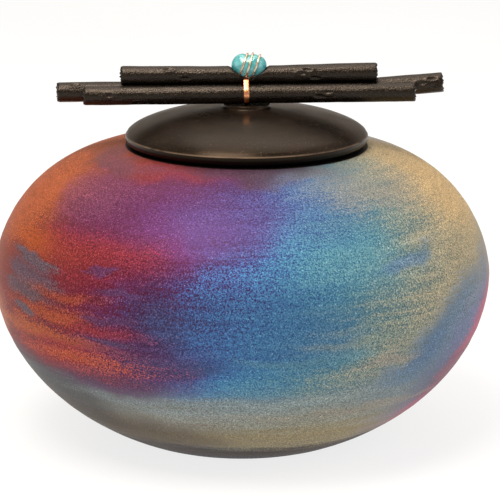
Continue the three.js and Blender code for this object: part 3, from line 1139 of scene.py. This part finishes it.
@dataclass
class Handle:
    """The three twigs on the post, the strap that binds them and the wrapped bead in the notch."""

    lid: Lid
    gap: float = 0.3
    front_radius: float = 4.65
    back_radius: float = 4.85
    upper_radius: float = 4.75
    front_lean: float = 0.0123
    back_lean: float = 0.0139
    strap_width: float = 2.5
    strap_thickness: float = 0.5
    strap_clearance: float = 0.12
    strap_centre: float = 2.2
    strap_sway: float = 0.12
    strap_points: int = 150
    bead_size: tuple[float, float, float] = (16.9, 11.2, 11.8)
    bead_settled: float = 0.85
    bead_centre: float = 3.4
    wire_radius: float = 0.52
    wire_turns: float = 2.9
    wire_start: float = 3.9
    wire_end: float = -5.0
    wire_slant: float = 2.6
    wire_sway: float = 0.25
    wire_points: int = 420
    twigs: dict[str, Twig] = field(default_factory=dict)
    bead_middle: Vector = field(default_factory=Vector)

    def __post_init__(self) -> None:
        """Places the twigs, two side by side on the post and one in the groove between them, and
        the middle of the bead, which lies over the strap on the notch's floor."""
        bottom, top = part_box("turquoise_bead")
        self.bead_middle = (bottom + top) / 2 / MM - Vector((0.0, 0.0, self.bead_settled))
        rest = self.lid.post_top + self.gap
        post = self.lid.post_radius
        origin = self.lid.shift
        front = Twig("twig_front", "stick_front", left=-75.8, right=83.2, radius=self.front_radius,
                     y=-self.front_radius - self.gap / 2,
                     z=rest + self.front_radius + self.front_lean * post,
                     lean=self.front_lean, origin_x=origin, seed=2.0,
                     scars=((-63, 3.0), (-49, 3.9), (37, 3.3), (40.5, 2.9)))
        back = Twig("twig_back", "stick_back", left=-89.1, right=96.8, radius=self.back_radius,
                    y=self.back_radius + self.gap / 2,
                    z=rest + self.back_radius + self.back_lean * post,
                    lean=self.back_lean, origin_x=origin, kick=0.07, kick_start=62.0, seed=5.0,
                    scars=((91, 2.5), (93, 3.3), (86, 2.9), (-80, 2.2)))
        y = (front.y + back.y) / 2
        heights = [low.z + math.sqrt((self.upper_radius + low.radius + self.gap) ** 2 - (y - low.y) ** 2)
                   for low in (front, back)]
        upper = Twig("twig_upper", "stick_upper", left=-58.2, right=64.9, radius=self.upper_radius,
                     y=y, z=max(heights), lean=max(self.front_lean, self.back_lean), origin_x=origin,
                     sag=0.85, seed=9.0,
                     scars=((-35, 2.3), (-27, 3.4), (31, 2.6), (35, 3.5), (29, 3.0)))
        self.twigs = {"front": front, "back": back, "upper": upper}

    @property
    def notch(self) -> Notch:
        """The notch, cut to its depth from the top of the upper twig."""
        upper = self.twigs["upper"]
        return Notch(upper.height(Notch.centre) + self.upper_radius - Notch.depth)

    def build_twigs(self, wood: Material) -> None:
        """Sweeps the twigs and pares the notch in the upper one."""
        tree = swept_tree()
        for twig in self.twigs.values():
            piece = twig.build(tree, wood)
            if twig.node == "stick_upper":
                piece = run_tree(twig.name, notch_tree(), {
                    "Centre": self.notch.centre * MM, "Floor Height": self.notch.bottom * MM,
                    "Floor Half Width": self.notch.floor_width / 2 * MM, "Slope": self.notch.slope,
                    "Tool Mark Depth": 0.3 * MM, "Material": wood,
                }, start=piece)
            piece.name = twig.name
            stand_in(piece, twig.node)

    def loop(self, clearance: float) -> list[Point]:
        """The tight outline round the twigs' sections, kept under the notch's floor.

        Args:
            clearance: how far it lies off the wood.

        Returns:
            Its points as Y and Z, in order.
        """
        cloud = []
        for twig in self.twigs.values():
            reach = twig.radius + clearance
            for angle in steps(0, 2 * math.pi, 72)[1:]:
                z = twig.height(self.strap_centre) + reach * math.sin(angle)
                cloud.append((twig.y + reach * math.cos(angle), min(z, self.notch.bottom + clearance)))
        return tight_outline(cloud)

    def build_strap(self, copper: Material) -> None:
        """Winds the flat strap round the twigs: a closed band with soft edges."""
        middle = even_loop(self.loop(self.strap_clearance + self.strap_thickness / 2), self.strap_points)
        half, thick = self.strap_width / 2, self.strap_thickness / 2
        section = [(math.copysign(abs(math.cos(a)) ** 0.35, math.cos(a)) * half,
                    math.copysign(abs(math.sin(a)) ** 0.6, math.sin(a)) * thick)
                   for a in steps(0, 2 * math.pi, 20)[:-1]]
        rows = []
        for i, (y, z) in enumerate(middle):
            (y0, z0), (y1, z1) = middle[i - 1], middle[(i + 1) % len(middle)]
            along = Vector((y1 - y0, z1 - z0)).normalized()
            sway = self.strap_sway * math.sin(6 * math.pi * i / len(middle) + 1.0)
            rows.append([(self.strap_centre + sway + across, y + along.y * off, z - along.x * off)
                         for across, off in section])
        piece = closed_rows("copper_band", rows)
        dress(piece, copper)
        stand_in(piece, "copper_strap")

    def bead_point(self, share: float, angle: float, proud: float) -> Vector:
        """A point on the bead's skin, or off it.

        Args:
            share: place along the bead, from -1 to 1.
            angle: angle round X, from the back upwards.
            proud: how far off the skin, in millimetres.

        Returns:
            The point in millimetres.
        """
        length, depth, height = self.bead_size
        up = math.sin(angle)
        swell = math.sqrt(max(1 - abs(share) ** (2.5 + 0.5 * min(up, 0.0)), 0.0))
        dip = 0.12 * math.exp(-((share + 0.05) / 0.2) ** 2) * max(up, 0.0) ** 2
        lump = 0.05 * math.sin(3.1 * share + 2 * angle + 0.8) * swell - 0.04 * max(share, 0.0) * up
        wide = swell * (0.98 - dip + lump)
        middle = self.bead_middle
        return Vector((self.bead_centre + share * length / 2,
                       middle.y + (wide * depth / 2 + proud) * math.cos(angle),
                       middle.z + (wide * height / 2 + proud) * up))

    def build_bead(self, stone: Material) -> None:
        """Shapes the nugget: a ball pushed into two lobes with small tumbled facets."""
        ball = bmesh.new()
        bmesh.ops.create_icosphere(ball, subdivisions=6, radius=1.0)
        for vert in ball.verts:
            share = max(-1.0, min(1.0, vert.co.x))
            angle = math.atan2(vert.co.z, vert.co.y)
            facet = noise.noise(Vector(vert.co) * 2.1 + Vector((3.0, 1.0, 7.0))) * 0.35
            vert.co = self.bead_point(share, angle, facet - 0.05) * MM
        for face in ball.faces:
            face.smooth = True
        mesh = bpy.data.meshes.new("bead")
        ball.to_mesh(mesh)
        ball.free()
        piece = keep("turquoise_nugget", mesh)
        dress(piece, stone)
        stand_in(piece, "turquoise_bead")

    def build_wire(self, metal: Material) -> None:
        """Winds the fine wire round the bead, slanting down across its front."""
        points = []
        proud = self.wire_radius * 0.7
        for t in steps(0, 1, self.wire_points):
            angle = math.pi / 2 + 2 * math.pi * self.wire_turns * t
            sway = self.wire_sway * math.sin(11.0 * t + 1.0)
            along = self.wire_start + (self.wire_end - self.wire_start) * t + sway
            along += self.wire_slant * 0.5 * math.sin(angle)
            points.append(tuple(self.bead_point(2 * along / self.bead_size[0], angle, proud)))
        radii = [self.wire_radius] * len(points)
        radii[0] = radii[-1] = self.wire_radius * 0.6
        guide = guide_path("wire_path", points, radii)
        none = guide_mesh("no_scars", [], joined=False)
        piece = run_tree("bead_wrap", swept_tree(), {
            "Path": guide, "Sides": 12, "Ridge Depth": 0.0, "Scars": none, "Scar Depth": 0.0,
            "Material": metal,
        })
        drop(guide, none)
        stand_in(piece, "bead_wire")


def tight_outline(points: Sequence[Point]) -> list[Point]:
    """The tight outline round points of a plane, anticlockwise.

    Args:
        points: the points.

    Returns:
        The outline's corners in order.
    """
    def half(ordered: Sequence[Point]) -> list[Point]:
        """One side of the outline, without its last point."""
        chain: list[Point] = []
        for point in ordered:
            while len(chain) > 1:
                (ax, ay), (bx, by) = chain[-2:]
                if (bx - ax) * (point[1] - ay) - (by - ay) * (point[0] - ax) > 1e-9:
                    break
                chain.pop()
            chain.append(point)
        return chain[:-1]

    ordered = sorted(set(points))
    return half(ordered) + half(ordered[::-1])


def even_loop(corners: Sequence[Point], count: int) -> list[Point]:
    """Evenly spaced points along a closed outline.

    Args:
        corners: the outline's corners in order.
        count: how many points to give.

    Returns:
        The points.
    """
    closed = [*corners, corners[0]]
    lengths = [math.dist(a, b) for a, b in zip(closed, closed[1:])]
    total = sum(lengths)
    made: list[Point] = []
    walked, i = 0.0, 0
    for k in range(count):
        target = total * k / count
        while walked + lengths[i] < target:
            walked += lengths[i]
            i += 1
        share = (target - walked) / max(lengths[i], 1e-9)
        (ax, ay), (bx, by) = closed[i], closed[i + 1]
        made.append((ax + (bx - ax) * share, ay + (by - ay) * share))
    return made


def closed_rows(name: str, rows: Sequence[Sequence[Sequence[float]]]) -> Piece:
    """Skins a closed ring of rows of points, each row a closed section.

    Args:
        name: the piece's name.
        rows: sections in order, in millimetres.

    Returns:
        The piece, shaded smooth.
    """
    width = len(rows[0])
    places = [tuple(value * MM for value in point) for row in rows for point in row]
    faces = []
    for i in range(len(rows)):
        j = (i + 1) % len(rows)
        for k in range(width):
            n = (k + 1) % width
            faces.append((i * width + k, j * width + k, j * width + n, i * width + n))
    mesh = bpy.data.meshes.new(name)
    mesh.from_pydata(places, [], faces)
    mesh.shade_smooth()
    return keep(name, mesh)


# The fumed colours. Azimuth 0 is the front and grows to the right, in degrees; heights and
# sizes are in millimetres. The sweep runs round the vessel and closes at the back. The clouds
# lie on the sweep, the bands on the clouds and the shades on the bands. A few of the clouds,
# bands and shades are painted shade or painted sheen, as marked where they stand.
SWEEP = (
    (-180, "8A463C"),
    (-152, "5C4A7E"),
    (-124, "A45A34"),
    (-92, "A65A40"),
    (-66, "8E443C"),
    (-50, "80343E"),
    (-38, "7E2A3E"),
    (-28, "702A4E"),
    (-20, "5E3062"),
    (-12, "50407C"),
    (-4, "4E5CA0"),
    (5, "4C7AB8"),
    (14, "4A88B4"),
    (24, "568EAA"),
    (33, "668E98"),
    (42, "86968E"),
    (54, "AAA690"),
    (72, "BEB08E"),
    (96, "A8A08C"),
    (122, "5E78A0"),
    (150, "74385E"),
    (180, "8A463C"),
)
CLOUDS = (
    Cloud(-40, 133, 34, 8, "7E3E54", 0.6),
    Cloud(-32, 122, 36, 18, "76365E", 0.7),
    Cloud(-16, 122, 20, 12, "703C80", 0.5),
    Cloud(-2, 124, 22, 12, "5E4E8C", 0.6),
    Cloud(-19, 80, 14, 20, "4E2C54", 0.7),
    Cloud(28, 110, 20, 12, "64A0B0", 0.5, Edge.GRAINY, 0.5),
    Cloud(46, 132, 30, 7, "98988E", 0.7, Edge.GRAINY, 0.8),
    Cloud(84, 124, 36, 17, "D0B68A", 1.0),
    Cloud(20, 140, 26, 3.5, "74787A", 0.8, Edge.GRAINY),
    Cloud(42, 104, 16, 2.5, "6084A8", 0.7, Edge.BRUSHED, 0.8, 10),
    Cloud(58, 60, 50, 24, "7088A0", 0.95, Edge.GRAINY, 1.9, 28),
    Cloud(46, 59, 20, 9, "54769C", 0.5, Edge.GRAINY, 0.9, 30),
    Cloud(72, 84, 20, 9, "909AA4", 0.8, Edge.GRAINY, 1.0, 30),
    Cloud(36, 61, 14, 2.2, "A89E90", 0.6, Edge.BRUSHED, 0.6, 6),
    Cloud(24, 72, 24, 2, "90A094", 0.7, Edge.BRUSHED, 0.5),
    Cloud(26, 79, 16, 1.6, "90A498", 0.6, Edge.BRUSHED, 0.5),
    Cloud(12, 66, 26, 2, "6898A4", 0.7, Edge.BRUSHED, 0.5),
    Cloud(-18, 62, 26, 5, "3A5A88", 0.9, Edge.BRUSHED),
    Cloud(2, 80, 44, 16, "3E689C", 0.5),
    Cloud(-72, 126, 28, 12, "BC6640", 0.9, Edge.GRAINY, 0.7),
    Cloud(-76, 112, 22, 9, "BA6440", 0.9, Edge.GRAINY, 0.8),
    Cloud(-56, 107, 24, 5, "C4642E", 1.0, Edge.GRAINY, 0.6),
    Cloud(-40, 107, 30, 9, "96363E", 0.8, Edge.GRAINY, 0.7),
    Cloud(-30, 140, 34, 2.8, "9C3A34", 0.85, Edge.GRAINY, 0.8),
    Cloud(2, 141, 28, 3, "463A42", 0.8, Edge.GRAINY),
    Cloud(-62, 139, 24, 3, "74505E", 0.7, Edge.GRAINY),
    Cloud(-57, 100, 18, 2.2, "6C5E6C", 0.95, Edge.BRUSHED),
    Cloud(-34, 101, 10, 1.8, "5E4070", 0.7, Edge.BRUSHED),
    Cloud(-57, 93.5, 20, 4, "6C5666", 0.95, Edge.BRUSHED),
    Cloud(-56, 86, 20, 3.5, "6C5864", 0.95, Edge.BRUSHED),
    Cloud(-43, 89.5, 15, 2, "B85830", 0.6, Edge.GRAINY, 0.4),
    Cloud(-27, 93, 14, 1.5, "644878", 0.6, Edge.BRUSHED),
    Cloud(-47, 79.5, 22, 3, "C46030", 0.7, Edge.GRAINY, 0.4),
    Cloud(-57, 77.5, 8, 2, "6A5E6A", 0.9, Edge.BRUSHED),
    Cloud(-29, 81, 14, 1.6, "60406A", 0.7, Edge.BRUSHED),
    Cloud(-32, 75, 18, 2.4, "A83C38", 0.7, Edge.GRAINY, 0.5),
    Cloud(-55, 68, 28, 4.2, "C86A38", 0.8, Edge.GRAINY, 0.5),
    Cloud(-38, 66, 22, 2.8, "D07034", 0.8, Edge.GRAINY, 0.5),
    Cloud(-28, 70.5, 11, 1.5, "5E5474", 0.8, Edge.BRUSHED),
    Cloud(-38, 60, 20, 3, "B4543C", 0.7, Edge.GRAINY, 0.5),
    # A pale pink patch at the far left edge: partly glaze colour, partly a painted sheen where the glaze is
    # seen at a grazing angle.
    Cloud(-76, 66, 14, 14, "C4785A", 0.8),
    Cloud(118, 104, 40, 11, "5A6898", 0.8, Edge.BRUSHED, 0.7, 16),
    Cloud(140, 120, 38, 11, "8C3C60", 0.9, Edge.GRAINY, 0.8),
    Cloud(134, 78, 34, 4, "A89878", 0.9, Edge.BRUSHED, 0.5),
    Cloud(160, 88, 38, 5, "48689A", 0.9, Edge.BRUSHED),
    Cloud(172, 104, 34, 7, "B05630", 0.9, Edge.BRUSHED, 0.4),
    Cloud(186, 76, 34, 4, "C46A34", 0.95, Edge.BRUSHED, 0.4),
    Cloud(206, 112, 38, 10, "54467E", 0.9, Edge.GRAINY, 0.8),
    Cloud(214, 84, 34, 4, "6E8C8E", 0.85, Edge.BRUSHED, 0.6),
    Cloud(236, 100, 34, 7, "8A3038", 0.9, Edge.BRUSHED),
    Cloud(244, 78, 30, 4, "6A5E6A", 0.9, Edge.BRUSHED),
    Cloud(254, 92, 28, 3.5, "C46434", 0.9, Edge.BRUSHED, 0.4),
)
BANDS = (
    Band(37, 49, 8, "708690", 0.75),
    Band(26, 43, 8, "888C84", 0.9),
    Band(10, 30, 8, "8C7E5E", 0.95),
    # The two lowest bands: the foot's brown clay, darkened further as painted shade towards the floor.
    Band(1, 13, 4, "2C1C0E", 1.0),
    Band(-10, 4, 2.5, "140F0C", 1.0),
)
SHADES = (
    # A dark violet veil over the top front: partly glaze colour, partly painted shade that dims the top.
    Cloud(-8, 128, 64, 13, "442E66", 0.36),
    Cloud(-50, 129, 20, 9, "74405E", 0.6, Edge.GRAINY),
    Cloud(-44, 58, 36, 9, "8C2E3A", 0.9, Edge.GRAINY, 1.2),
    Cloud(-24, 60, 26, 13, "5A3058", 0.65),
    # Two dark patches low on the left: painted shade.
    Cloud(-56, 32, 40, 20, "343034", 0.8),
    Cloud(-34, 20, 44, 10, "40342A", 0.65),
    # A grey-blue patch low on the right: painted shade.
    Cloud(50, 42, 40, 15, "60707E", 0.35),
    Cloud(67, 46, 46, 22, "686690", 0.7, Edge.GRAINY, 1.1, 46),
    Cloud(70, 46, 43, 16, "B04A62", 0.85, Edge.GRAINY, 1.4, 48),
    # A dark patch low on the right: painted shade.
    Cloud(66, 40, 30, 14, "485058", 0.55),
    Cloud(-34, 50, 30, 6, "5C3A54", 0.7, Edge.GRAINY),
    Cloud(-42, 59.4, 27, 3, "C4602E", 0.6, Edge.GRAINY, 0.4),
    Cloud(-39, 52.4, 15, 1.6, "A44438", 0.4, Edge.GRAINY, 0.3),
    Cloud(-20, 41, 44, 2.4, "7E8684", 0.5, Edge.SOFT, 0.8),
    Cloud(12, 44, 42, 1.8, "8E9690", 0.4, Edge.SOFT, 0.6),
    Cloud(30, 36, 40, 2, "8E8270", 0.5, Edge.BRUSHED, 0.5),
)


@dataclass(frozen=True)
class Studio:
    """The camera of the photograph's view, a pale floor and soft light."""

    aim_mm: tuple[float, float, float] = (3.889, 0.0, 88.441)
    elevation: float = 13.931
    distance_mm: float = 1250.0
    pixels_per_mm: float = 2.056
    frame_pixels: float = 500.0
    sensor_mm: float = 36.0
    floor_reach: float = 12.0
    lamp_aim: tuple[float, float, float] = (0.0, 0.0, 0.09)

    def build(self) -> None:
        """Sets the camera, floor, lamps and surroundings."""
        self.camera()
        self.floor()
        self.lamp("key", (-0.4, -0.65, 1.75), 0.9, 32.0, "FFF2E4")
        self.lamp("top", (0.1, 0.45, 1.6), 1.3, 9.0, "FFF6EC")
        self.lamp("right", (1.5, -0.4, 0.9), 1.2, 6.0, "F4F8FF")
        world = bpy.data.worlds.new("white_surround")
        world.use_nodes = True
        ground = world.node_tree.nodes["Background"]
        ground.inputs["Color"].default_value = linear("FFEFDE")
        ground.inputs["Strength"].default_value = 0.45
        bpy.context.scene.world = world
        bpy.context.scene.view_settings.view_transform = "Standard"

    def camera(self) -> None:
        """Places the camera so that the aim falls on the middle of the frame."""
        tilt = math.radians(self.elevation)
        forward = Vector((0.0, math.cos(tilt), -math.sin(tilt)))
        data = bpy.data.cameras.new("camera")
        data.sensor_width = self.sensor_mm
        data.lens = self.pixels_per_mm * self.distance_mm / self.frame_pixels * self.sensor_mm
        camera = add_object("camera", data)
        camera.location = (Vector(self.aim_mm) - forward * self.distance_mm) * MM
        camera.rotation_mode = "QUATERNION"
        camera.rotation_quaternion = forward.to_track_quat("-Z", "Y")
        bpy.context.scene.camera = camera

    def floor(self) -> None:
        """Lays a wide pale floor under the foot."""
        mesh = bpy.data.meshes.new("floor")
        reach = self.floor_reach
        corners = [(-reach, -reach, 0.0), (reach, -reach, 0.0), (reach, reach, 0.0), (-reach, reach, 0.0)]
        mesh.from_pydata(corners, [], [(0, 1, 2, 3)])
        floor = add_object("floor", mesh)
        look = Surface("pale_floor", Roughness=0.9, Specular_IOR_Level=0.1, Emission_Strength=0.8)
        look.shader.inputs["Emission Color"].default_value = linear("FFFFFF")
        mottle = look.grain((400.0, 400.0, 400.0), 1.0)
        shade = look.mix(look.spread(mottle, 0.3, 0.7), linear("7E8082"), linear("828486"))
        look.tree.links.new(shade, look.shader.inputs["Base Color"])
        mesh.materials.append(look.material)

    def lamp(self, name: str, place: Sequence[float], size: float, power: float, colour: str) -> None:
        """Hangs one soft square lamp that faces the urn.

        Args:
            name: the lamp's name.
            place: where it hangs, in metres.
            size: its side, in metres.
            power: its power in watts.
            colour: its colour.
        """
        data = bpy.data.lights.new(name, "AREA")
        data.shape = "SQUARE"
        data.size = size
        data.energy = power
        data.color = linear(colour)[:3]
        lamp = add_object(name, data)
        lamp.location = place
        lamp.rotation_mode = "QUATERNION"
        aim = Vector(self.lamp_aim) - Vector(place)
        lamp.rotation_quaternion = aim.to_track_quat("-Z", "Y")


def main() -> None:
    """Builds the studio and every piece."""
    logging.basicConfig(level=logging.INFO, format="%(name)s: %(message)s")
    Studio().build()
    vessel = Vessel()
    lid = Lid(vessel)
    glaze = FumedGlaze(SWEEP, CLOUDS, BANDS, SHADES, lid.radius - 0.4, lid.shift)
    Pot(vessel, lid).build(glaze.material(vessel), SmokedClay(lid.edge_height).material())
    handle = Handle(lid)
    handle.build_twigs(StainedTwig(handle.notch).material())
    handle.build_strap(FlattenedCopper().material())
    handle.build_bead(TumbledTurquoise().material())
    handle.build_wire(RoseWire().material())


if __name__ == "__main__":
    main()
